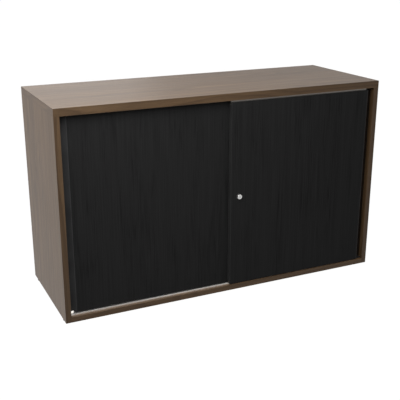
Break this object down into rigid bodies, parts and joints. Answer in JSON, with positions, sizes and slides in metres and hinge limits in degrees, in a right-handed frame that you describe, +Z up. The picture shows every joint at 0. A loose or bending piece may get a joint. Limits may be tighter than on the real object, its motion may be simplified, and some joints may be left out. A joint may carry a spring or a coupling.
{
  "type": "sliding door cabinet",
  "caption": "Low panel cabinet with overlapping doors that slide on rollers along a grooved track, with finger grips at the outer ends and a push lock.",
  "frame": {"origin": "on the floor, midway between the side panels and midway between the carcass front and back", "axes": "+X to the right along the doors' travel, +Y from the doors to the back, +Z up"},
  "size_m": [1.2, 0.4355, 0.72],
  "materials": {
    "carcass_board": "matt",
    "carcass_edging": "satin",
    "back_board": "matt",
    "door_board": "satin",
    "door_edging": "satin",
    "grip_plastic": "satin",
    "track_aluminium": "satin",
    "roller_plastic": "satin",
    "housing_plastic": "satin",
    "glide_plastic": "matt",
    "stop_rubber": "matt",
    "zinc_steel": "satin",
    "lock_nickel": "satin",
    "spline_wood": "matt"
  },
  "bodies": {
    "carcass": {"top_panel": "carcass_board", "top_front_edging": "carcass_edging", "top_left_edging": "carcass_edging", "top_right_edging": "carcass_edging", "left_side_panel": "carcass_board", "left_side_edging": "carcass_edging", "right_side_panel": "carcass_board", "right_side_edging": "carcass_edging", "bottom_panel": "carcass_board", "bottom_edging": "carcass_edging", "centre_partition": "carcass_board", "back_panel": "back_board", "left_shelf": "carcass_board", "right_shelf": "carcass_board", "shelf_supports": "zinc_steel", "corner_splines": "spline_wood", "glides": "glide_plastic", "top_track": "track_aluminium", "bottom_track": "track_aluminium", "front_closing_stop": "stop_rubber", "front_opening_stop": "stop_rubber", "rear_closing_stop": "stop_rubber", "rear_opening_stop": "stop_rubber"},
    "front_door": {"front_door_panel": "door_board", "front_door_edging": "door_edging", "front_door_grip": "grip_plastic", "front_door_top_runner": "track_aluminium", "front_roller_housings": "housing_plastic", "front_roller_axles": "zinc_steel", "lock_housing": "zinc_steel"},
    "rear_door": {"rear_door_panel": "door_board", "rear_door_edging": "door_edging", "rear_door_grip": "grip_plastic", "rear_door_top_runner": "track_aluminium", "rear_roller_housings": "housing_plastic", "rear_roller_axles": "zinc_steel", "lock_keeper": "lock_nickel"},
    "lock_plunger": {"lock_plunger": "lock_nickel"},
    "lock_plug": {"lock_plug": "lock_nickel"},
    "front_left_roller": {"front_left_roller": "roller_plastic"},
    "front_right_roller": {"front_right_roller": "roller_plastic"},
    "rear_right_roller": {"rear_right_roller": "roller_plastic"},
    "rear_left_roller": {"rear_left_roller": "roller_plastic"}
  },
  "joints": [
    {"name": "front_door_slide", "type": "slide", "parent": "carcass", "child": "front_door", "axis": [1, 0, 0], "range_m": [-0.5796, 0]},
    {"name": "rear_door_slide", "type": "slide", "parent": "carcass", "child": "rear_door", "axis": [1, 0, 0], "range_m": [0, 0.5146]},
    {"name": "front_left_roller_spin", "type": "hinge", "parent": "front_door", "child": "front_left_roller", "pos_m": [0.073, -0.203, 0.041], "axis": [0, 1, 0], "continuous": true},
    {"name": "front_right_roller_spin", "type": "hinge", "parent": "front_door", "child": "front_right_roller", "pos_m": [0.4845, -0.203, 0.041], "axis": [0, 1, 0], "continuous": true},
    {"name": "rear_right_roller_spin", "type": "hinge", "parent": "rear_door", "child": "rear_right_roller", "pos_m": [-0.007, -0.1805, 0.041], "axis": [0, 1, 0], "continuous": true},
    {"name": "rear_left_roller_spin", "type": "hinge", "parent": "rear_door", "child": "rear_left_roller", "pos_m": [-0.4845, -0.1805, 0.041], "axis": [0, 1, 0], "continuous": true},
    {"name": "lock_push", "type": "slide", "parent": "front_door", "child": "lock_plunger", "axis": [0, 1, 0], "range_m": [0, 0.0065], "stiffness_N_per_m": 350, "springref_m": -0.004},
    {"name": "lock_turn", "type": "hinge", "parent": "lock_plunger", "child": "lock_plug", "pos_m": [0.0345, -0.2125, 0.357], "axis": [0, 1, 0], "range_deg": [0, 90]}
  ],
  "couplings": [
    {"joint": "front_left_roller_spin", "follows": "front_door_slide", "rad_per_m": 111.11},
    {"joint": "front_right_roller_spin", "follows": "front_door_slide", "rad_per_m": 111.11},
    {"joint": "rear_right_roller_spin", "follows": "rear_door_slide", "rad_per_m": 111.11},
    {"joint": "rear_left_roller_spin", "follows": "rear_door_slide", "rad_per_m": 111.11}
  ]
}
